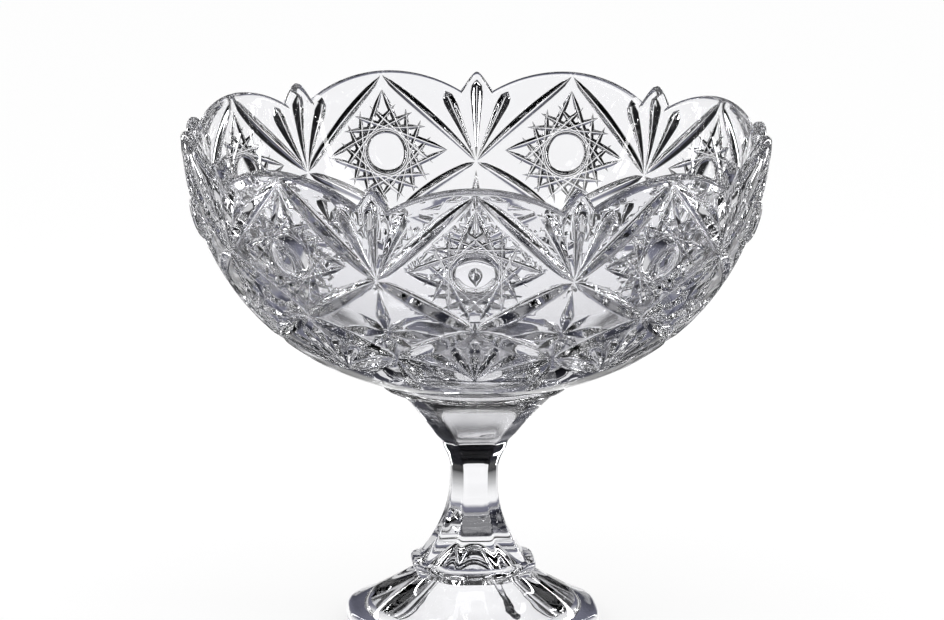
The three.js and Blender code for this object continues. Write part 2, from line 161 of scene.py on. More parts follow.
@dataclass(frozen=True)
class BowlWall:
    """The bowl's wall: superelliptic profiles outside and inside, and a round boss below."""

    rim_radius: float = 115.0
    pole_height: float = 97.3
    rim_height: float = 200.0
    widest_height: float = 210.0
    thickness: float = 5.5
    floor_thickness: float = 10.0
    spread: float = 2.4
    drop: float = 2.2
    boss_radius: float = 36.8
    boss_edge: float = 2.4
    headroom: float = 4.0
    boss_rounding: float = 0.35
    boss_side: float = 0.9
    boss_angles: tuple[int, ...] = (30, 60, 90)
    slope_step: float = 0.02
    climb_start: float = 0.05
    climb_steps: int = 1200

    def profile_point(self, radius: float, pole: float, angle: float) -> Place:
        """Find a point of a profile by its angle from the pole.

        Args:
            radius: Widest radius of the profile.
            pole: Height of its lowest point.
            angle: Angle from the pole, in radians.

        Returns:
            Radius and height of the point.
        """
        reach = radius * math.sin(angle) ** (2 / self.spread)
        fall = (self.widest_height - pole) * math.cos(angle) ** (2 / self.drop)
        return reach, self.widest_height - fall

    def profile_angle(self, pole: float, height: float) -> float:
        """Find the angle of a profile at a height.

        Args:
            pole: Height of the profile's lowest point.
            height: Height looked for.

        Returns:
            Angle from the pole, in radians.
        """
        fall = (self.widest_height - height) / (self.widest_height - pole)
        return math.acos(min(1.0, fall) ** (self.drop / 2))

    def radius(self, height: float) -> float:
        """Give the outer wall's radius at a height."""
        angle = self.profile_angle(self.pole_height, height)
        return self.profile_point(self.rim_radius, self.pole_height, angle)[0]

    def slope(self, height: float) -> float:
        """Give the radius that the outer wall gains for each unit of height."""
        step = self.slope_step
        return (self.radius(height + step) - self.radius(height - step)) / (2 * step)

    @cached_property
    def climb(self) -> tuple[np.ndarray, np.ndarray]:
        """Table of heights and of the length along the outer wall up to each.

        Returns:
            Heights, and the length up to each of them.
        """
        top = self.rim_height + self.headroom
        heights = np.linspace(self.pole_height + self.climb_start, top, self.climb_steps)
        radii = np.array([self.radius(height) for height in heights])
        steps = np.hypot(np.diff(heights), np.diff(radii))
        return heights, np.concatenate([[0.0], np.cumsum(steps)])

    def height_at(self, share: float) -> float:
        """Give the height at a share of the way from the pole to the rim."""
        return self.pole_height + share * (self.rim_height - self.pole_height)

    def offset(self, centre: Place, across: float, along: float) -> Place:
        """Step away from a place on the wall.

        Args:
            centre: Azimuth and height of the start.
            across: Distance round the wall.
            along: Distance up the wall.

        Returns:
            Azimuth and height of the end.
        """
        heights, lengths = self.climb
        start = np.interp(centre[1], heights, lengths)
        height = float(np.interp(start + along, lengths, heights))
        return centre[0] + across / self.radius(height), height

    def frame(self, azimuth: float, height: float) -> WallFrame:
        """Give the outer wall's place and directions.

        Args:
            azimuth: Angle round the bowl, in radians.
            height: Height on the wall.

        Returns:
            The frame there.
        """
        slope = self.slope(height)
        outward = np.array([math.sin(azimuth), -math.cos(azimuth), 0.0])
        upward = np.array([0.0, 0.0, 1.0])
        stretch = math.hypot(1.0, slope)
        return WallFrame(
            outward * self.radius(height) + upward * height,
            (outward - slope * upward) / stretch,
            (slope * outward + upward) / stretch,
            np.array([math.cos(azimuth), math.sin(azimuth), 0.0]),
        )

    def profile(self, outer_steps: int, inner_steps: int) -> list[Place]:
        """Trace the wall from the middle of the seat, up the outside and down the inside.

        Args:
            outer_steps: Steps up the outer wall.
            inner_steps: Steps down the inner wall.

        Returns:
            Radius and height of each point.
        """
        top = self.rim_height + self.headroom
        inner_radius = self.rim_radius - self.thickness
        inner_pole = self.pole_height + self.floor_thickness
        start = math.asin(((self.boss_radius + self.boss_edge) / self.rim_radius) ** (self.spread / 2))
        outer = np.linspace(start, self.profile_angle(self.pole_height, top), outer_steps)
        inner = np.linspace(self.profile_angle(inner_pole, top), 0.0, inner_steps)
        rounding = self.boss_rounding * self.boss_edge
        points = [(0.0, self.pole_height), (self.boss_radius - rounding, self.pole_height)]
        for degrees in self.boss_angles:
            turn = math.radians(degrees)
            points.append((
                self.boss_radius - rounding * (1 - math.sin(turn)),
                self.pole_height + rounding * (1 - math.cos(turn)),
            ))
        points.append((self.boss_radius, self.pole_height + self.boss_side * self.boss_edge))
        points += [self.profile_point(self.rim_radius, self.pole_height, angle) for angle in outer]
        points += [self.profile_point(inner_radius, inner_pole, angle) for angle in inner]
        return points


@dataclass(frozen=True)
class ScallopedRim:
    """The rim: arched scallops with a pointed knob between each two."""

    wall: BowlWall
    scallops: int = 9
    rise: float = 9.2
    knob_drop: float = 1.5
    knob_half_width: float = 6.7
    knob_slope: float = 1.5
    knob_softness: float = 2.6
    rounding: float = 2.2
    rounding_height: float = 3.2
    rounding_angles: tuple[int, ...] = (86, 72, 56, 40, 26, 12, 0)
    skirt_out: float = 1.5
    skirt_drop: float = 2.4

    @property
    def half_period(self) -> float:
        """Angle from a scallop's middle to a knob's tip, in radians."""
        return math.pi / self.scallops

    def height(self, azimuth: float) -> float:
        """Give the rim's height.

        Args:
            azimuth: Angle round the bowl, in radians.

        Returns:
            Height of the rim's crest there.
        """
        radius = self.wall.rim_radius
        offset = abs(azimuth - 2 * self.half_period * round(azimuth / (2 * self.half_period)))
        half = self.half_period * radius - self.knob_half_width
        arch = (half ** 2 + self.rise ** 2) / (2 * self.rise)
        along = min(offset * radius, arch)
        scallop = self.wall.rim_height - arch + math.sqrt(arch ** 2 - along ** 2)
        aside = (self.half_period - offset) * radius
        tip = self.wall.rim_height - self.knob_drop
        knob = tip + self.knob_softness - math.hypot(self.knob_slope * aside, self.knob_softness)
        return max(scallop, knob)

    def cutter(self, start: float, end: float, steps: int) -> Solid:
        """Make the solid that takes away all above the rim and rounds its edges.

        Args:
            start: First azimuth, in radians.
            end: Last azimuth, in radians.
            steps: Rings between the two.

        Returns:
            The cutter.
        """
        half = self.wall.thickness / 2
        curve = [(half + self.skirt_out, -self.skirt_drop * self.rounding_height)]
        for degrees in self.rounding_angles:
            turn = math.radians(degrees)
            curve.append((
                half - self.rounding * (1 - math.sin(turn)),
                -self.rounding_height * (1 - math.cos(turn)),
            ))
        section = curve + [(-across, drop) for across, drop in reversed(curve)]
        notch = self.half_period - self.knob_half_width / self.wall.rim_radius
        stops = sorted({*np.linspace(start, end, steps), notch, 2 * self.half_period - notch})
        top = self.wall.rim_height + 2 * self.wall.headroom
        rings = []
        for azimuth in stops:
            level = self.height(azimuth)
            middle = self.wall.radius(level) - half
            outline = [(middle + across, level + drop) for across, drop in section]
            outline += [(outline[-1][0], top), (outline[0][0], top)]
            rings.append(np.array([
                (radius * math.sin(azimuth), -radius * math.cos(azimuth), height)
                for radius, height in outline
            ]))
        return loft(rings)


@dataclass(frozen=True)
class Flank:
    """Side of a groove, by the shares of its half width where its parts meet.

    The round bottom ends at the first share, the shoulder starts at the second, and it would lie level
    with the wall at the third.
    """

    bottom: float
    shoulder: float
    level: float = 1.02
    shoulder_places: int = 4

    @cached_property
    def profile(self) -> list[Place]:
        """Trace the side from the bottom out, as shares of the half width and of the depth.

        Returns:
            Share of the half width and share of the depth of each point.
        """
        fall = np.linspace(self.shoulder, 1.0, self.shoulder_places)
        shares = np.array([0.0, self.bottom / 2, self.bottom, (self.bottom + self.shoulder) / 2, *fall])
        rise = np.minimum(shares / self.bottom, 1.0)
        slopes = rise * np.minimum((self.level - shares) / (self.level - self.shoulder), 1.0)
        climbs = np.concatenate([[0.0], np.cumsum(np.diff(shares) * (slopes[1:] + slopes[:-1]) / 2)])
        return list(zip(shares, 1 - climbs / climbs[-1]))


MITRE_FLANK = Flank(bottom=0.13, shoulder=0.25)
LEAF_FLANK = Flank(bottom=0.12, shoulder=0.68)
CHORD_FLANK = Flank(bottom=0.22, shoulder=0.85)


@dataclass(frozen=True)
class CutPattern:
    """The pattern pressed into the outer wall: a lattice of mitres filled with stars and fans.

    Rows, stars and fans are placed by shares of the way from the pole to the rim. Mitres and leaves
    fade by shares of their own length, and a skim lifts the ends of a groove just clear of the wall.
    """

    wall: BowlWall
    rim: ScallopedRim
    rows: tuple[float, ...] = (0.977, 0.63, 0.435, 0.293, 0.189)
    mitre_width: float = 7.8
    mitre_depth: float = 2.1
    low_mitre: float = 1.15
    leaf_width: float = 6.6
    leaf_depth: float = 2.2
    crossing_gap: float = 0.6
    mitre_fade: float = 0.45
    leaf_gap: float = 1.4
    leaf_crest: float = 0.8
    leaf_tip: float = 0.2
    leaf_growth: float = 0.9
    groove_places: int = 14
    least_share: float = 0.02
    skim: float = 0.04
    star_share: float = 0.675
    star_rays: int = 16
    star_step: int = 6
    ring_radius: float = 9.9
    ring_core: float = 0.4
    ring_floor_inset: float = 0.6
    ring_flare: float = 1.1
    ring_clearance: float = 2.4
    long_reach: float = 26.4
    short_reach: float = 20.5
    low_reach: float = 21.5
    chord_width: float = 2.7
    chord_depth: float = 0.95
    chord_fade: float = 7.0
    chord_growth: float = 0.8
    chord_skim: float = 0.03
    chord_places: int = 21
    button_radius: float = 9.0
    button_rise: float = 1.7
    button_sink: float = 1.3
    button_flatness: float = 2.5
    button_root: float = 2.2
    button_segments: int = 64
    button_step: int = 6
    small_star_share: float = 0.41
    small_star_rays: int = 8
    small_star_top: float = 22.0
    small_star_bottom: float = 12.5
    small_star_side: float = 21.0
    small_star_slant: float = 13.0
    small_star_width: float = 7.0
    small_star_slant_width: float = 5.2
    small_star_root: float = 0.15
    small_star_taper: float = 1.6
    fan_top_share: float = 0.905
    fan_middle_share: float = 0.95
    fan_spread: float = 0.33
    low_fan_gap: float = 4.0
    low_fan_fall: float = 1.3
    low_fan_spreads: tuple[float, ...] = (-0.5, -0.25, 0.0, 0.25, 0.5)
    low_leaf_width: float = 5.4
    foot_leaf_share: float = 0.105
    overshoot: float = 1.2

    def groove(
        self, path: Sequence[Place], depths: Sequence[float], width: float, depth: float, flank: Flank,
    ) -> Solid:
        """Make the cutter of a V-shaped groove.

        Args:
            path: Azimuths and heights along the groove.
            depths: Depth at each of them.
            width: Width of the V at full depth.
            depth: Full depth.
            flank: Form of its sides.

        Returns:
            The cutter.
        """
        frames = [self.wall.frame(*place) for place in path]
        points = np.array([spot.point for spot in frames])
        runs = np.gradient(points, axis=0)
        rings = []
        for spot, run, deep in zip(frames, runs, depths):
            side = np.cross(run / np.linalg.norm(run), spot.normal)
            side /= np.linalg.norm(side)
            half = width / 2 * max(self.least_share, deep / depth)
            profile = [(half * share, -deep * left) for share, left in flank.profile]
            profile.append((half + self.overshoot * width / (2 * depth), self.overshoot))
            outline = [(-across, lift) for across, lift in reversed(profile[1:])] + profile
            rings.append(np.array([
                spot.point + across * side + lift * spot.normal for across, lift in reversed(outline)]))
        return loft(rings)

    def straight(
        self, start: Place, end: Place, gaps: Place, width: float, depth: float,
        form: Callable[[float], float], flank: Flank,
    ) -> Solid:
        """Make a groove straight along the wall between two places.

        Args:
            start: Azimuth and height of one end.
            end: Azimuth and height of the other.
            gaps: Distances left free at the two ends.
            width: Width of the V at full depth.
            depth: Full depth.
            form: Share of the depth by the share of the way along.
            flank: Form of its sides.

        Returns:
            The cutter.
        """
        first, last = np.array(start), np.array(end)
        middle = (start[1] + end[1]) / 2
        stretch = np.array([self.wall.radius(middle), math.hypot(1.0, self.wall.slope(middle))])
        length = float(np.linalg.norm((last - first) * stretch))
        shares = np.linspace(0.0, 1.0, self.groove_places)
        low, high = gaps[0] / length, 1 - gaps[1] / length
        path = [tuple(first + (last - first) * (low + (high - low) * share)) for share in shares]
        depths = [depth * form(share) - self.skim for share in shares]
        return self.groove(path, depths, width, depth, flank)

    def mitre_form(self, share: float) -> float:
        """Give a mitre's depth: full for most of its length and faded at both ends."""
        return max(0.0, math.sin(math.pi * share)) ** self.mitre_fade

    def leaf_form(self, share: float) -> float:
        """Give a leaf's depth: fullest past its middle, with a pointed root and a rounder tip."""
        past = max(0.0, (share - self.leaf_crest) / self.leaf_tip)
        return min(share / self.leaf_crest, 1.0) ** self.leaf_growth * math.sqrt(max(0.0, 1 - past ** 2))

    def crossing(self, row: int, period: float, side: float) -> Place:
        """Find a crossing of mitres.

        Args:
            row: Row counted from the rim.
            period: Azimuth of the repeat's middle, in radians.
            side: -1 or 1 for the two sides of the repeat.

        Returns:
            Azimuth and height of the crossing.
        """
        line = Crossing.UNDER_KNOB if row % 2 else Crossing.UNDER_SCALLOP
        return period + side * line.value * self.rim.half_period, self.wall.height_at(self.rows[row])

    def mitres(self) -> list[Solid]:
        """Make the lattice's mitres that reach the worked wedge.

        Returns:
            Their cutters.
        """
        cutters = []
        gaps = (self.crossing_gap, self.crossing_gap)
        for period, sides in ((0.0, (-1, 1)), (2 * self.rim.half_period, (-1,))):
            for side in sides:
                for row in range(len(self.rows) - 1):
                    ends = (self.crossing(row, period, side), self.crossing(row + 1, period, side))
                    scale = self.low_mitre if row else 1.0
                    cutters.append(self.straight(
                        *ends, gaps, scale * self.mitre_width, scale * self.mitre_depth,
                        self.mitre_form, MITRE_FLANK))
        return cutters

    def leaf(self, start: Place, end: Place, width: float | None = None) -> Solid:
        """Make a leaf cut that starts a little way from a crossing.

        Args:
            start: Azimuth and height of the crossing at its root.
            end: Azimuth and height of its tip.
            width: Width, where it isn't the usual one.

        Returns:
            The cutter.
        """
        broad = width or self.leaf_width
        deep = self.leaf_depth * broad / self.leaf_width
        return self.straight(start, end, (self.leaf_gap, 0.0), broad, deep, self.leaf_form, LEAF_FLANK)

    def reach(self, ray: int) -> float:
        """Give how far from the hobstar's centre a ray's tip lies.

        Args:
            ray: Ray counted from the top.

        Returns:
            Distance of its tip.
        """
        quarter = self.star_rays // 4
        if ray % self.star_rays == 2 * quarter:
            return self.low_reach
        return self.long_reach if ray % quarter == 0 else self.short_reach

    def hobstar(self) -> list[Solid]:
        """Make the star of chords round the button; each chord joins two of its tips.

        Returns:
            The chords' cutters.
        """
        centre = (0.0, self.wall.height_at(self.star_share))
        cutters = []
        for ray in range(self.star_rays):
            turn = (ray + self.star_step / 2) * 2 * math.pi / self.star_rays
            normal = np.array([math.sin(turn), math.cos(turn)])
            along = np.array([normal[1], -normal[0]])
            start = math.sqrt(self.reach(ray) ** 2 - self.ring_radius ** 2)
            end = math.sqrt(self.reach(ray + self.star_step) ** 2 - self.ring_radius ** 2)
            path = []
            depths = []
            for spot in np.linspace(-start, end, self.chord_places):
                across, up = self.ring_radius * normal + spot * along
                path.append(self.wall.offset(centre, across, up))
                left = (start + spot) if spot < 0 else (end - spot)
                fade = min(1.0, left / self.chord_fade) ** self.chord_growth
                depths.append(self.chord_depth * fade - self.chord_skim)
            cutters.append(self.groove(path, depths, self.chord_width, self.chord_depth, CHORD_FLANK))
        return cutters

    def turned(self, profile: Sequence[Place], centre: Place) -> Solid:
        """Turn a profile about the wall's normal.

        Args:
            profile: Radius and height above the wall, from the lower middle to the upper middle.
            centre: Azimuth and height of its place.

        Returns:
            The turned solid.
        """
        spot = self.wall.frame(*centre)
        turns = np.linspace(0.0, 2 * math.pi, self.button_segments, endpoint=False)
        rings = []
        for radius, lift in profile:
            rings.append(
                spot.point + lift * spot.normal
                + radius * np.cos(turns)[:, None] * spot.across
                + radius * np.sin(turns)[:, None] * spot.rise
            )
        return loft(rings)

    def button(self) -> list[tuple[Cut, Solid]]:
        """Make the hobstar's sunk ring and the domed button inside it.

        Returns:
            The two cuts, with the ring first.
        """
        centre = (0.0, self.wall.height_at(self.star_share))
        sink = self.button_sink
        ring = self.turned([
            (self.ring_core * self.ring_radius, -sink),
            (self.ring_radius - self.ring_floor_inset, -sink),
            (self.ring_radius + self.ring_flare, self.ring_clearance),
        ], centre)
        dome = []
        for degrees in range(0, 90, self.button_step):
            turn = math.radians(degrees)
            reach = self.button_radius * math.cos(turn) ** (2 / self.button_flatness)
            dome.append((reach, (self.button_rise + sink) * math.sin(turn) - sink))
        body = self.turned([(self.button_radius, -self.button_root * sink), *dome], centre)
        return [(Cut.REMOVE, ring), (Cut.ADD, body)]

    def small_star(self) -> list[Solid]:
        """Make the star of eight leaves in the lozenge under each knob.

        Returns:
            The leaves' cutters.
        """
        centre = (self.rim.half_period, self.wall.height_at(self.small_star_share))
        upright = {0: self.small_star_top, self.small_star_rays // 2: self.small_star_bottom}
        cutters = []
        for ray in range(self.small_star_rays):
            turn = ray * 2 * math.pi / self.small_star_rays
            slants = ray % 2 == 1
            reach = upright.get(ray, self.small_star_slant if slants else self.small_star_side)
            broad = self.small_star_slant_width if slants else self.small_star_width
            deep = self.leaf_depth * broad / self.leaf_width
            path = []
            depths = []
            for share in np.linspace(0.0, 1.0, self.groove_places):
                spot = reach * share
                path.append(self.wall.offset(centre, spot * math.sin(turn), spot * math.cos(turn)))
                grown = self.small_star_root + self.small_star_taper * share
                form = min(1.0, grown, self.small_star_taper * (1.0 - share))
                depths.append(deep * form - self.skim)
            cutters.append(self.groove(path, depths, broad, deep, LEAF_FLANK))
        return cutters

    def fans(self) -> list[Solid]:
        """Make the leaves that fan out over each crossing.

        Returns:
            Their cutters.
        """
        cutters = []
        half = self.rim.half_period
        root = self.crossing(1, 0.0, 1)
        cutters.append(self.leaf(root, (root[0], self.wall.height_at(self.fan_middle_share))))
        for side in (-1, 1):
            tip = (root[0] + side * self.fan_spread * half, self.wall.height_at(self.fan_top_share))
            cutters.append(self.leaf(root, tip))
        low_root = self.crossing(4, 0.0, 1)
        low_top = self.crossing(2, 0.0, 1)[1] - self.low_fan_gap
        foot_root = self.crossing(3, 0.0, 1)
        for share in self.low_fan_spreads:
            fall = abs(share) * self.low_fan_fall * (low_top - foot_root[1])
            tip = (low_root[0] + share * half, low_top - fall)
            cutters.append(self.leaf(low_root, tip, self.low_leaf_width))
        foot_tip = (half, self.wall.height_at(self.foot_leaf_share))
        cutters.append(self.leaf(foot_root, foot_tip, self.low_leaf_width))
        return cutters

    def steps(self) -> list[tuple[Cut, Solid]]:
        """List every cut of the pattern in working order."""
        removals = self.mitres() + self.hobstar() + self.small_star() + self.fans()
        return [(Cut.REMOVE, solid) for solid in removals] + self.button()


class ShaderTree:
    """A material's or world's nodes, made one at a time from Python."""

    def __init__(self, owner: bpy.types.Material | bpy.types.World) -> None:
        """Clear the owner's nodes.

        Args:
            owner: Material or world whose nodes are made.
        """
        owner.use_nodes = True
        self.nodes = owner.node_tree.nodes
        self.links = owner.node_tree.links
        self.nodes.clear()

    def node(
        self, kind: str, settings: dict[str, object] | None = None,
        inputs: dict[str | int, object] | None = None, output: str | int = 0,
    ) -> "Sock":
        """Make a node.

        Args:
            kind: Type of the node, without its common prefix.
            settings: Properties that are set first.
            inputs: Values or sockets by the name or number of the input.
            output: Name or number of the output that is wanted.

        Returns:
            That output.
        """
        node = self.nodes.new(f"ShaderNode{kind}")
        for key, value in (settings or {}).items():
            setattr(node, key, value)
        for key, value in (inputs or {}).items():
            socket = node.inputs[key]
            if isinstance(value, Sock):
                self.links.new(value.socket, socket)
            else:
                socket.default_value = value
        return Sock(self, node.outputs[output] if len(node.outputs) else None)

    def mix(self, share: "Sock", low: "Sock | Colour", high: "Sock | Colour") -> "Sock":
        """Mix two colours.

        Args:
            share: Share of the second colour.
            low: Colour where the share is 0.
            high: Colour where it is 1.

        Returns:
            The mixed colour.
        """
        return self.node("Mix", {"data_type": "RGBA"}, {"Factor": share, 6: low, 7: high}, output=2)

    def axes(self, vector: "Sock", names: str) -> list["Sock"]:
        """Give the named parts of a vector, such as X and Y."""
        return [self.node("SeparateXYZ", {}, {0: vector}, output=name) for name in names]


class Sock:
    """A shader socket that takes part in Python expressions on values."""

    def __init__(self, tree: ShaderTree, socket: bpy.types.NodeSocket | None) -> None:
        """Keep the socket and the tree it belongs to.

        Args:
            tree: Tree that makes further nodes.
            socket: Output socket that is wrapped.
        """
        self.tree = tree
        self.socket = socket

    def math(self, operation: str, first: object, second: object) -> "Sock":
        """Make a Math node.

        Args:
            operation: Its operation.
            first: Value or socket of its first input.
            second: Value or socket of its second input.

        Returns:
            Its output.
        """
        return self.tree.node("Math", {"operation": operation}, {0: first, 1: second})

    def __add__(self, other: object) -> "Sock":
        """Add."""
        return self.math("ADD", self, other)

    def __radd__(self, other: object) -> "Sock":
        """Add to."""
        return self.math("ADD", other, self)

    def __sub__(self, other: object) -> "Sock":
        """Subtract."""
        return self.math("SUBTRACT", self, other)

    def __rsub__(self, other: object) -> "Sock":
        """Subtract from."""
        return self.math("SUBTRACT", other, self)

    def __mul__(self, other: object) -> "Sock":
        """Multiply."""
        return self.math("MULTIPLY", self, other)

    def __rmul__(self, other: object) -> "Sock":
        """Multiply by."""
        return self.math("MULTIPLY", other, self)

    def over(self, other: object) -> "Sock":
        """Take the greater of two values."""
        return self.math("MAXIMUM", self, other)

    def eased(self, low: float, high: float) -> "Sock":
        """Ease from 0 at the low value to 1 at the high value.

        Args:
            low: Value that gives 0.
            high: Value that gives 1.

        Returns:
            The eased share.
        """
        settings = {"interpolation_type": "SMOOTHSTEP"}
        return self.tree.node("MapRange", settings, {"Value": self, 1: low, 2: high, 3: 0.0, 4: 1.0})


@dataclass(frozen=True)
class ClearFinish:
    """Clear glass or film: faintly tinted, glossy, with the slow ripple of a pressed surface."""

    name: str
    tint: Colour
    deep_tint: Colour
    ior: float
    roughness: float
    roughness_spread: float
    ripple_size: float
    ripple_height: float
    ripple_detail: float = 1.5
    ripple_roughness: float = 0.35
    cloud_scale: float = 14.0
    cloud_detail: float = 2.0
    cloud_band: Span = (0.3, 0.7)
    haze_scale: float = 420.0
    haze_detail: float = 3.0

    def material(self) -> bpy.types.Material:
        """Make the finish's material.

        Returns:
            The material.
        """
        material = bpy.data.materials.new(self.name)
        tree = ShaderTree(material)
        coords = tree.node("TexCoord", output="Object")
        cloud = tree.node("TexNoise", {}, {
            "Vector": coords, "Scale": self.cloud_scale, "Detail": self.cloud_detail})
        haze = tree.node("TexNoise", {}, {
            "Vector": coords, "Scale": self.haze_scale, "Detail": self.haze_detail})
        ripple = tree.node("TexNoise", {}, {
            "Vector": coords, "Scale": 1.0 / self.ripple_size,
            "Detail": self.ripple_detail, "Roughness": self.ripple_roughness})
        colour = tree.mix(cloud.eased(*self.cloud_band), self.tint, self.deep_tint)
        normal = tree.node("Bump", {}, {
            "Strength": 1.0, "Distance": self.ripple_height, "Height": ripple}, output="Normal")
        shader = tree.node("BsdfPrincipled", {}, {
            "Base Color": colour,
            "Roughness": self.roughness + haze * self.roughness_spread,
            "IOR": self.ior,
            "Transmission Weight": 1.0,
            "Normal": normal,
        })
        tree.node("OutputMaterial", {}, {"Surface": shader})
        return material


GLASS = ClearFinish(
    name="pressed_glass",
    tint=(0.984, 0.983, 1.0, 1.0),
    deep_tint=(0.974, 0.975, 0.996, 1.0),
    ior=1.52,
    roughness=0.003,
    roughness_spread=0.008,
    ripple_size=0.014,
    ripple_height=0.00010,
)
FILM = ClearFinish(
    name="cured_film",
    tint=(0.99, 0.99, 0.985, 1.0),
    deep_tint=(0.98, 0.985, 0.98, 1.0),
    ior=1.52,
    roughness=0.01,
    roughness_spread=0.03,
    ripple_size=0.01,
    ripple_height=0.00004,
)


def dress(piece: bpy.types.Object, node: str) -> None:
    """Hang a piece on the frame in place of a CAD node.

    Args:
        piece: Piece that shows.
        node: CAD node that it stands for.
    """
    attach(piece, "root")
    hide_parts(node)
    LOG.info("%s: %d faces", piece.name, len(piece.data.polygons))


def place_piece(name: str, mesh: bpy.types.Mesh, finish: ClearFinish, sharp: float) -> bpy.types.Object:
    """Put a mesh into the scene with its finish and shading.

    Args:
        name: Name of the piece.
        mesh: Its mesh, in metres.
        finish: Its finish.
        sharp: Edges over this many degrees stay crisp.

    Returns:
        The piece.
    """
    mesh.name = name
    mesh.shade_smooth()
    mesh.set_sharp_from_angle(angle=math.radians(sharp))
    mesh.materials.clear()
    mesh.materials.append(finish.material())
    piece = bpy.data.objects.new(name, mesh)
    bpy.context.scene.collection.objects.link(piece)
    return piece


@dataclass
class GlassBowl:
    """The bowl: one half repeat is worked as a wedge, then mirrored and turned round the axis."""

    wall: BowlWall = field(default_factory=BowlWall)
    margin: float = 3.0
    outer_steps: int = 84
    inner_steps: int = 56
    rim_steps: int = 97
    sharp_edge: float = 20.0
    seam_tolerance: float = 1e-3

    def __post_init__(self) -> None:
        """Make the rim and the pattern that go with the wall."""
        self.rim = ScallopedRim(self.wall)
        self.pattern = CutPattern(self.wall, self.rim)

    def blank(self, start: float, end: float) -> Solid:
        """Sweep the wall's profile through an angle.

        Args:
            start: First azimuth, in radians.
            end: Last azimuth, in radians.

        Returns:
            The wedge-shaped blank.
        """
        profile = self.wall.profile(self.outer_steps, self.inner_steps)
        azimuths = np.linspace(start, end, round(math.degrees(end - start)) + 1)
        inner = profile[1:-1]
        points = [(0.0, 0.0, profile[0][1]), (0.0, 0.0, profile[-1][1])]
        for azimuth in azimuths:
            points += [(r * math.sin(azimuth), -r * math.cos(azimuth), z) for r, z in inner]
        count = len(inner)
        faces: list[Face] = []
        for i in range(len(azimuths) - 1):
            here, there = 2 + i * count, 2 + (i + 1) * count
            faces.append((0, there, here))
            faces.append((1, here + count - 1, there + count - 1))
            for j in range(count - 1):
                faces.append((here + j, there + j, there + j + 1, here + j + 1))
        last = 2 + (len(azimuths) - 1) * count
        faces.append((0, *range(2, 2 + count), 1))
        faces.append((1, *reversed(range(last, last + count)), 0))
        return Solid(np.array(points), faces)

    def sector(self) -> Solid:
        """Make the plain prism that the worked wedge is trimmed to.

        Returns:
            The prism.
        """
        reach, low, high = 2 * self.wall.rim_radius, 0.0, 2 * self.wall.rim_height
        half = self.rim.half_period
        corners = [(0.0, 0.0), (0.0, -reach), (reach * math.sin(half), -reach * math.cos(half))]
        return loft([np.array([(x, y, z) for x, y in corners]) for z in (low, high)])

    def wedge(self) -> bpy.types.Mesh:
        """Work the half repeat.

        Returns:
            The worked mesh, in millimetres.
        """
        margin = math.radians(self.margin)
        half = self.rim.half_period
        blank = self.blank(-margin, half + margin)
        rim = self.rim.cutter(-2 * margin, half + 2 * margin, self.rim_steps)
        return carve(blank, [
            (Cut.REMOVE, rim), *self.pattern.steps(), (Cut.KEEP, self.sector())])

    def whole(self) -> bpy.types.Mesh:
        """Mirror and turn the wedge into the whole bowl.

        Returns:
            The bowl's mesh, in metres.
        """
        wedge = self.wedge()
        half = self.rim.half_period
        points = np.array([vertex.co for vertex in wedge.vertices])
        side = points @ np.array([math.cos(half), math.sin(half), 0.0])
        on_front = np.abs(points[:, 0]) < self.seam_tolerance
        on_side = np.abs(side) < self.seam_tolerance
        faces = []
        for polygon in wedge.polygons:
            corners = list(polygon.vertices)
            if not on_front[corners].all() and not on_side[corners].all():
                faces.append(corners)
        bpy.data.meshes.remove(wedge)
        copies, skins = [], []
        for turn in range(self.rim.scallops):
            spin = np.array(Matrix.Rotation(2 * half * turn, 3, "Z"))
            for flip in (1.0, -1.0):
                base = len(copies) * len(points)
                copies.append((points * np.array([flip, 1.0, 1.0])) @ spin.T)
                ordered = faces if flip > 0 else [face[::-1] for face in faces]
                skins += [tuple(base + corner for corner in face) for face in ordered]
        mesh = Solid(np.concatenate(copies), skins).to_mesh("bowl", MM)
        self.weld(mesh, np.tile(on_front | on_side, len(copies)))
        return mesh

    def weld(self, mesh: bpy.types.Mesh, seam: np.ndarray) -> None:
        """Join the copies of the wedge along their seams.

        Args:
            mesh: Mesh of all the copies.
            seam: Whether each of its points lies on a seam.
        """
        shape = bmesh.new()
        shape.from_mesh(mesh)
        edge = [vertex for vertex, on_seam in zip(shape.verts, seam) if on_seam]
        bmesh.ops.remove_doubles(shape, verts=edge, dist=self.seam_tolerance * MM)
        bmesh.ops.delete(shape, geom=[v for v in shape.verts if not v.link_faces], context="VERTS")
        loose = sum(1 for side in shape.edges if not side.is_manifold)
        LOG.info("bowl seams: %d open edges", loose)
        shape.to_mesh(mesh)
        shape.free()

    def build(self) -> bpy.types.Object:
        """Make the bowl and hang it on the frame.

        Returns:
            The bowl.
        """
        piece = place_piece("scalloped_bowl", self.whole(), GLASS, self.sharp_edge)
        dress(piece, "bowl")
        return piece


@dataclass(frozen=True)
class Level:
    """One level of the pedestal's outline: its half width, height, ridge share and crispness."""

    half_width: float
    height: float
    ridge: float
    crispness: float


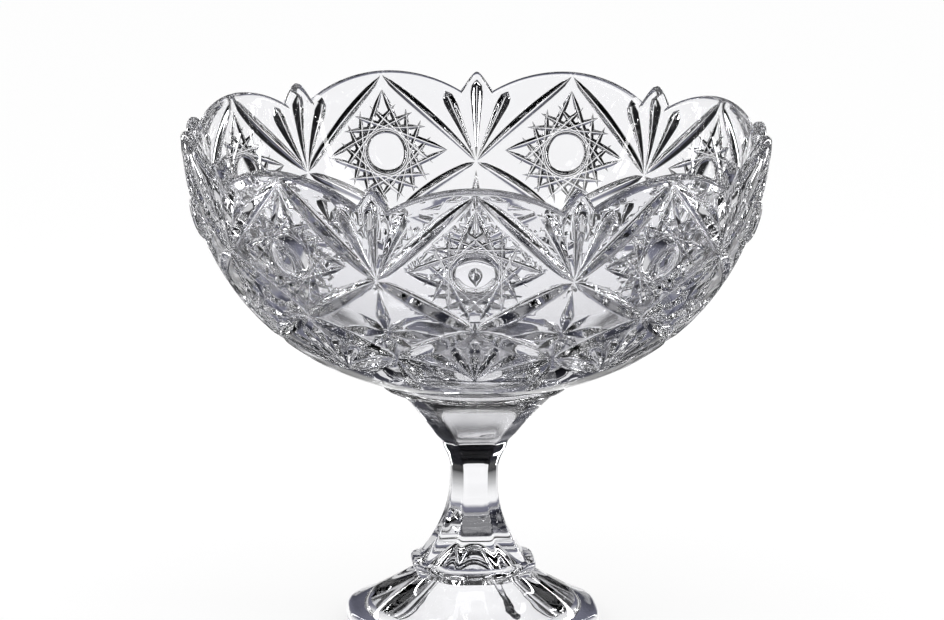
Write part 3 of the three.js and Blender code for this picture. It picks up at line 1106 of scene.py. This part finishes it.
@dataclass
class FacetedPedestal:
    """The pedestal: an eight-faceted stem, a collar and a spreading foot with a hollow under it."""

    height: float = 97.0
    turn: float = 5.0
    top_half_width: float = 28.7
    waist_height: float = 59.0
    waist_length: float = 4.0
    waist_half_width: float = 9.1
    spread: float = 2.05
    spread_sink: float = 2.6
    crease_below_top: float = 21.0
    crease_reach: float = 1.8
    crease_depth: float = 0.7
    collar_half_width: float = 24.2
    collar_height: float = 25.4
    collar_lip: float = 2.0
    lip_under_angle: float = -75.0
    lip_top_angle: float = 60.0
    ledge_rise: float = 0.3
    neck_inset: float = 1.7
    neck_drop: float = 3.8
    foot_half_width: float = 49.7
    foot_edge: float = 4.4
    floor_angle: float = -60.0
    shoulder_angle: float = 62.0
    foot_dish: float = 1.12
    hollow_radius: float = 38.0
    hollow_shoulder: float = 6.0
    hollow_height: float = 31.0
    hollow_dome: float = 18.0
    hollow_edge: float = 1.2
    foot_ridge: float = 0.43
    collar_ridge: float = 0.43
    waist_ridge: float = 0.5
    top_ridge: float = 0.74
    top_closing: float = 2.5
    foot_crispness: float = 12.0
    collar_crispness: float = 26.0
    stem_crispness: float = 44.0
    crispness_growth: int = 3
    gathering: float = 0.6
    edge_steps: int = 18
    slope_steps: int = 20
    lip_steps: int = 12
    stem_steps: int = 90
    bearings: int = 40
    hollow_start: float = 0.01
    hollow_flare: int = 3
    hollow_steps: int = 34
    hollow_edge_steps: int = 7
    sharp_edge: float = 32.0

    def section(self, level: Level) -> np.ndarray:
        """Trace the eight-sided section with soft ridges at a level.

        Args:
            level: Half width, height, ridge share and crispness of the section.

        Returns:
            Its points.
        """
        corner = level.half_width * (1 + level.ridge) / math.sqrt(2)
        bend = math.atan(level.ridge)
        eighth = math.pi / 4
        shares = np.linspace(-1.0, 1.0, self.bearings // 2 + 1)
        gathered = np.sign(shares) * np.abs(shares) ** self.gathering
        quarter = np.concatenate([bend * gathered, eighth + (eighth - bend) * gathered[1:-1]])
        bearings = np.concatenate([quarter + i * math.pi / 2 for i in range(4)])
        total = np.zeros_like(bearings)
        for facet in range(8):
            lean = np.maximum(0.0, np.cos(bearings - facet * eighth))
            total += (lean / (corner if facet % 2 else level.half_width)) ** level.crispness
        radius = total ** (-1 / level.crispness)
        bearings += math.radians(self.turn)
        return np.column_stack([
            radius * np.cos(bearings), radius * np.sin(bearings), np.full_like(bearings, level.height)])

    def circle(self, radius: float, height: float) -> np.ndarray:
        """Trace a round section with as many points as the faceted one.

        Args:
            radius: Radius of the circle.
            height: Its height.

        Returns:
            Its points.
        """
        spots = self.section(Level(1.0, height, self.foot_ridge, self.foot_crispness))
        spots[:, :2] *= radius / np.linalg.norm(spots[:, :2], axis=1)[:, None]
        return spots

    @staticmethod
    def rounded(centre: Place, radius: float, angles: Place, steps: int) -> list[Place]:
        """Trace a rounded edge of the outline.

        Args:
            centre: Half width and height of its centre.
            radius: Its radius.
            angles: First and last angle, in degrees.
            steps: Points along it.

        Returns:
            Half width and height of each point.
        """
        turns = np.radians(np.linspace(*angles, steps))
        return [(centre[0] + radius * math.cos(t), centre[1] + radius * math.sin(t)) for t in turns]

    def stem(self, height: float) -> Level:
        """Give the stem's level at a height.

        Args:
            height: Height on the stem.

        Returns:
            Its level there.
        """
        crisp = self.stem_crispness
        if height < self.waist_height:
            end = self.collar_height - self.spread_sink
            share = (self.waist_height - height) / (self.waist_height - end)
            gain = (self.collar_half_width - self.waist_half_width) * share ** self.spread
            ridge = self.waist_ridge + (self.collar_ridge - self.waist_ridge) * share
            return Level(self.waist_half_width + gain, height, ridge, crisp)
        start = self.waist_height + self.waist_length
        slope = math.sqrt(self.top_half_width ** 2 - self.waist_half_width ** 2) / (self.height - start)
        share = (height - self.waist_height) / (self.height - self.waist_height)
        from_crease = height - self.height + self.crease_below_top
        crease = self.crease_depth * math.exp(-(from_crease / self.crease_reach) ** 2)
        half_width = math.hypot(self.waist_half_width, slope * max(0.0, height - start)) - crease
        ridge = self.waist_ridge + (self.top_ridge - self.waist_ridge) * share ** self.top_closing
        return Level(half_width, height, ridge, crisp)

    def foot(self) -> list[Level]:
        """Trace the foot from the floor over its rounded edge and up its slope to the neck.

        Returns:
            Its levels from the floor up.
        """
        low = -self.foot_edge * math.sin(math.radians(self.floor_angle))
        edge = self.rounded(
            (self.foot_half_width - self.foot_edge, low), self.foot_edge,
            (self.floor_angle, self.shoulder_angle), self.edge_steps)
        levels = [Level(*spot, self.foot_ridge, self.foot_crispness) for spot in edge]
        shoulder = edge[-1]
        neck = (self.collar_half_width - self.neck_inset, self.collar_height - self.neck_drop)
        gain = self.collar_crispness - self.foot_crispness
        for share in np.linspace(0.0, 1.0, self.slope_steps)[1:]:
            levels.append(Level(
                shoulder[0] + (neck[0] - shoulder[0]) * share,
                shoulder[1] + (neck[1] - shoulder[1]) * share ** self.foot_dish,
                self.foot_ridge,
                self.foot_crispness + gain * share ** self.crispness_growth,
            ))
        return levels

    def outline(self) -> list[Level]:
        """Trace the whole pedestal from the floor up.

        Returns:
            Its levels.
        """
        lip = self.rounded(
            (self.collar_half_width - self.collar_lip, self.collar_height), self.collar_lip,
            (self.lip_under_angle, self.lip_top_angle), self.lip_steps)
        levels = self.foot() + [Level(*spot, self.collar_ridge, self.collar_crispness) for spot in lip]
        root = lip[-1][1] + self.ledge_rise
        return levels + [self.stem(height) for height in np.linspace(root, self.height, self.stem_steps)]

    def hollow(self) -> list[Place]:
        """Trace the hollow under the foot, from the dome's middle down to the floor.

        Returns:
            Radius and height of each point.
        """
        spread = self.hollow_radius - self.hollow_dome
        points = []
        for share in np.linspace(self.hollow_start, 1.0, self.hollow_steps):
            points.append((
                self.hollow_dome * math.sqrt(share) + spread * share ** self.hollow_flare,
                self.hollow_height + (self.hollow_shoulder - self.hollow_height) * share,
            ))
        edge = self.hollow_edge
        points += [
            (self.hollow_radius + edge * (1 - math.cos(turn)), edge * (1 - math.sin(turn)))
            for turn in np.radians(np.linspace(0.0, 90.0, self.hollow_edge_steps))
        ]
        return points

    def build(self) -> bpy.types.Object:
        """Make the pedestal and hang it on the frame.

        Returns:
            The pedestal.
        """
        rings = [self.circle(radius, height) for radius, height in self.hollow()]
        rings += [self.section(level) for level in self.outline()]
        mesh = loft(rings).to_mesh("pedestal", MM)
        piece = place_piece("faceted_pedestal", mesh, GLASS, self.sharp_edge)
        dress(piece, "pedestal")
        return piece


@dataclass
class BondLayer:
    """The clear layer of cured adhesive between the pedestal and the bowl."""

    pedestal: FacetedPedestal
    thickness: float = 0.3
    wetting: float = 0.04
    sharp_edge: float = 30.0

    def build(self) -> bpy.types.Object:
        """Make the layer, which wets a hair's breadth of both faces, and hang it on the frame.

        Returns:
            The layer.
        """
        stem = self.pedestal
        low = stem.height - self.wetting
        high = stem.height + self.thickness + self.wetting
        half_width = stem.top_half_width + self.wetting
        levels = [Level(half_width, height, stem.top_ridge, stem.stem_crispness) for height in (low, high)]
        mesh = loft([stem.section(level) for level in levels]).to_mesh("bond", MM)
        piece = place_piece("clear_bond", mesh, FILM, self.sharp_edge)
        dress(piece, "bond_film")
        return piece


@dataclass(frozen=True)
class Lamp:
    """A soft lamp of the studio, in metres and watts."""

    name: str
    place: tuple[float, float, float]
    size: Span
    power: float
    aim_height: float = 0.12

    def build(self) -> None:
        """Hang the lamp and turn it to the bowl."""
        light = bpy.data.lights.new(self.name, "AREA")
        light.shape = "RECTANGLE"
        light.size, light.size_y = self.size
        light.energy = self.power
        lamp = bpy.data.objects.new(self.name, light)
        lamp.location = self.place
        lamp.visible_camera = False
        aim = Vector((0.0, 0.0, self.aim_height)) - lamp.location
        lamp.rotation_euler = aim.to_track_quat("-Z", "Y").to_euler()
        bpy.context.scene.collection.objects.link(lamp)


@dataclass
class Studio:
    """Floor, surroundings, lamps and camera."""

    panels: int = 8
    panel_edge: Span = (0.64, 0.82)
    side_light: float = 0.7
    behind_reach: Span = (0.940, 0.962)
    backdrop_top: Span = (-0.01, 0.02)
    zenith_light: float = 0.85
    zenith_reach: Span = (0.90, 0.97)
    panel_colour: Colour = (1.0, 1.0, 1.0, 1.0)
    night_colour: Colour = (0.0, 0.0, 0.0, 1.0)
    gap_colour: Colour = (0.012, 0.0118, 0.0128, 1.0)
    # Painted shade that the floor shows in glass where it is seen steeply, deep and pale by facing; the
    # paper itself is white.
    painted_shade_deep: Colour = (0.018, 0.019, 0.027, 1.0)
    painted_shade_pale: Colour = (0.19, 0.194, 0.25, 1.0)
    painted_shade_facing: Span = (0.14, 0.36)
    # Painted light: a paler grey where the floor is seen straight down in glass.
    under_light: Colour = (0.25, 0.25, 0.26, 1.0)
    under_facing: Span = (0.06, 0.09)
    gloss_facing: Span = (0.38, 0.46)
    facing_blend: float = 0.5
    far_reach: Span = (0.08, 0.30)
    paper_colour: Colour = (0.9, 0.9, 0.9, 1.0)
    paper_roughness: float = 0.8
    paper_sheen: float = 0.1
    paper_glow: float = 0.75
    floor_half: float = 6.0
    softboxes: tuple[Lamp, ...] = (
        Lamp("left_softbox", place=(-1.1, -0.7, 1.3), size=(0.5, 0.6), power=2.4),
        Lamp("right_softbox", place=(1.2, -0.4, 1.1), size=(0.3, 0.6), power=1.8),
        Lamp("back_softbox", place=(0.2, 1.2, 1.4), size=(0.6, 0.3), power=1.5),
    )
    strip_turns: tuple[int, ...] = (-105, -65, -32, 32, 65, 105)
    strip_reach: float = 0.6
    strip_height: float = 0.25
    strip_size: Span = (0.024, 0.46)
    strip_power: float = 0.35
    lens: float = 237.5
    sensor: float = 36.0
    clip: Span = (0.05, 50.0)
    camera_distance: float = 2.41
    rim_centre: float = 0.1985
    rim_elevation: float = 12.03
    aim_down: float = 13.69
    aim_left: float = 0.0012
    roll: float = 0.44
    bounces: int = 24
    glossy_bounces: int = 12

    def panel_light(self, tree: ShaderTree, east: Sock, north: Sock) -> Sock:
        """Give the light of the bright panels and dark gaps round the horizon.

        Args:
            tree: Tree that gets the nodes.
            east: Direction's part along X.
            north: Direction's part along Y.

        Returns:
            The light in that direction.
        """
        azimuth = tree.node("Math", {"operation": "ARCTAN2"}, {0: east, 1: north})
        wave = tree.node("Math", {"operation": "COSINE"}, {0: azimuth * float(self.panels)})
        behind = tree.node("Math", {"operation": "COSINE"}, {0: azimuth}).eased(*self.behind_reach)
        round_about = (wave * 0.5 + 0.5).eased(*self.panel_edge) * self.side_light
        return behind.over(round_about)

    def seen_in_glass(self, tree: ShaderTree) -> Sock:
        """Tell the rays that come through or off glass.

        Args:
            tree: Tree that gets the nodes.

        Returns:
            Share of glossy and transmitted rays.
        """
        glossy = tree.node("LightPath", output="Is Glossy Ray")
        through = tree.node("LightPath", output="Is Transmission Ray")
        return glossy.over(through)

    def build_world(self) -> None:
        """Make the surroundings: white, but in glass a lit horizon and zenith with dark between them."""
        world = bpy.data.worlds.new("studio_surround")
        bpy.context.scene.world = world
        tree = ShaderTree(world)
        direction = tree.node("TexCoord", output="Generated")
        east, north, up = tree.axes(direction, "XYZ")
        horizon = self.panel_light(tree, east, north) * (1.0 - up.eased(*self.backdrop_top))
        zenith = up.eased(*self.zenith_reach) * self.zenith_light
        glass = self.seen_in_glass(tree)
        light = glass * (horizon + zenith) + (1.0 - glass)
        colour = tree.mix(light, self.night_colour, self.panel_colour)
        shader = tree.node("Background", {}, {"Color": colour, "Strength": 1.0})
        tree.node("OutputWorld", {}, {"Surface": shader})

    def floor_material(self) -> bpy.types.Material:
        """Make the floor: white paper with the bowl's shadow; in glass it shows painted dark shade where
        it is seen steeply and a painted reflection of the panels at grazing angles.

        Returns:
            The floor's material.
        """
        material = bpy.data.materials.new("floor_paper")
        tree = ShaderTree(material)
        coords = tree.node("TexCoord", output="Object")
        east, north = tree.axes(coords, "XY")
        reach = tree.node("VectorMath", {"operation": "LENGTH"}, {0: coords}, output="Value")
        far = reach.eased(*self.far_reach)
        panel = self.panel_light(tree, east, north) * far + (1.0 - far)
        facing = tree.node("LayerWeight", {}, {"Blend": self.facing_blend}, output="Facing")
        camera = tree.node("LightPath", output="Is Camera Ray")
        # Painted shade: seen steeply in glass, the white floor turns dark bluish grey by its facing.
        painted_shade = tree.mix(facing.eased(*self.painted_shade_facing), self.painted_shade_deep, self.painted_shade_pale)
        # Painted light: a paler grey where the floor is seen straight down.
        painted_shade = tree.mix(facing.eased(*self.under_facing), self.under_light, painted_shade)
        # Painted reflection of the horizon's bright panels and dark gaps on the floor.
        painted_panel_reflection = tree.mix(panel, self.gap_colour, self.panel_colour)
        # At grazing angles the painted reflection takes over from the painted shade.
        painted_shade_and_reflection = tree.mix(facing.eased(*self.gloss_facing), painted_shade, painted_panel_reflection)
        colour = tree.mix(camera, painted_shade_and_reflection, self.panel_colour)
        paper = tree.node("BsdfPrincipled", {}, {
            "Base Color": self.paper_colour,
            "Roughness": self.paper_roughness,
            "Specular IOR Level": self.paper_sheen,
        })
        glow = tree.node("Emission", {}, {"Color": colour, "Strength": 1.0})
        share = camera * self.paper_glow + self.seen_in_glass(tree)
        shader = tree.node("MixShader", {}, {0: share, 1: paper, 2: glow})
        tree.node("OutputMaterial", {}, {"Surface": shader})
        return material

    def build_floor(self) -> None:
        """Lay the floor."""
        half = self.floor_half
        mesh = bpy.data.meshes.new("studio_floor")
        corners = [(-half, -half, 0.0), (half, -half, 0.0), (half, half, 0.0), (-half, half, 0.0)]
        mesh.from_pydata(corners, [], [(0, 1, 2, 3)])
        mesh.materials.append(self.floor_material())
        floor = bpy.data.objects.new("studio_floor", mesh)
        bpy.context.scene.collection.objects.link(floor)

    def build_lamps(self) -> None:
        """Hang the softboxes, and a ring of narrow strip lights round the back and sides."""
        for lamp in self.softboxes:
            lamp.build()
        for degrees in self.strip_turns:
            turn = math.radians(degrees)
            reach = self.strip_reach
            place = (reach * math.sin(turn), reach * math.cos(turn), self.strip_height)
            Lamp(f"strip_light_{degrees}", place, self.strip_size, self.strip_power).build()

    def build_camera(self) -> None:
        """Set the camera as the photograph's was fitted."""
        data = bpy.data.cameras.new("studio_camera")
        data.sensor_fit = "HORIZONTAL"
        data.sensor_width = self.sensor
        data.lens = self.lens
        data.clip_start, data.clip_end = self.clip
        camera = bpy.data.objects.new("studio_camera", data)
        elevation = math.radians(self.rim_elevation)
        camera.location = (
            0.0,
            -self.camera_distance * math.cos(elevation),
            self.rim_centre + self.camera_distance * math.sin(elevation),
        )
        yaw = math.atan(self.aim_left / self.camera_distance)
        turn = Matrix.Rotation(yaw, 4, "Z") @ Matrix.Rotation(math.radians(90 - self.aim_down), 4, "X")
        camera.rotation_euler = (turn @ Matrix.Rotation(math.radians(self.roll), 4, "Z")).to_euler()
        bpy.context.scene.collection.objects.link(camera)
        bpy.context.scene.camera = camera

    def build(self) -> None:
        """Make the whole studio."""
        scene = bpy.context.scene
        scene.view_settings.view_transform = "Standard"
        scene.cycles.max_bounces = self.bounces
        scene.cycles.transmission_bounces = self.bounces
        scene.cycles.glossy_bounces = self.glossy_bounces
        scene.cycles.caustics_reflective = False
        scene.cycles.caustics_refractive = False
        self.build_camera()
        self.build_floor()
        self.build_world()
        self.build_lamps()


def main() -> None:
    """Build the bowl's pieces in order, then the studio."""
    logging.basicConfig(level=logging.INFO, format="%(name)s: %(message)s")
    Studio().build()
    GlassBowl().build()
    pedestal = FacetedPedestal()
    pedestal.build()
    BondLayer(pedestal).build()


if __name__ == "__main__":
    main()
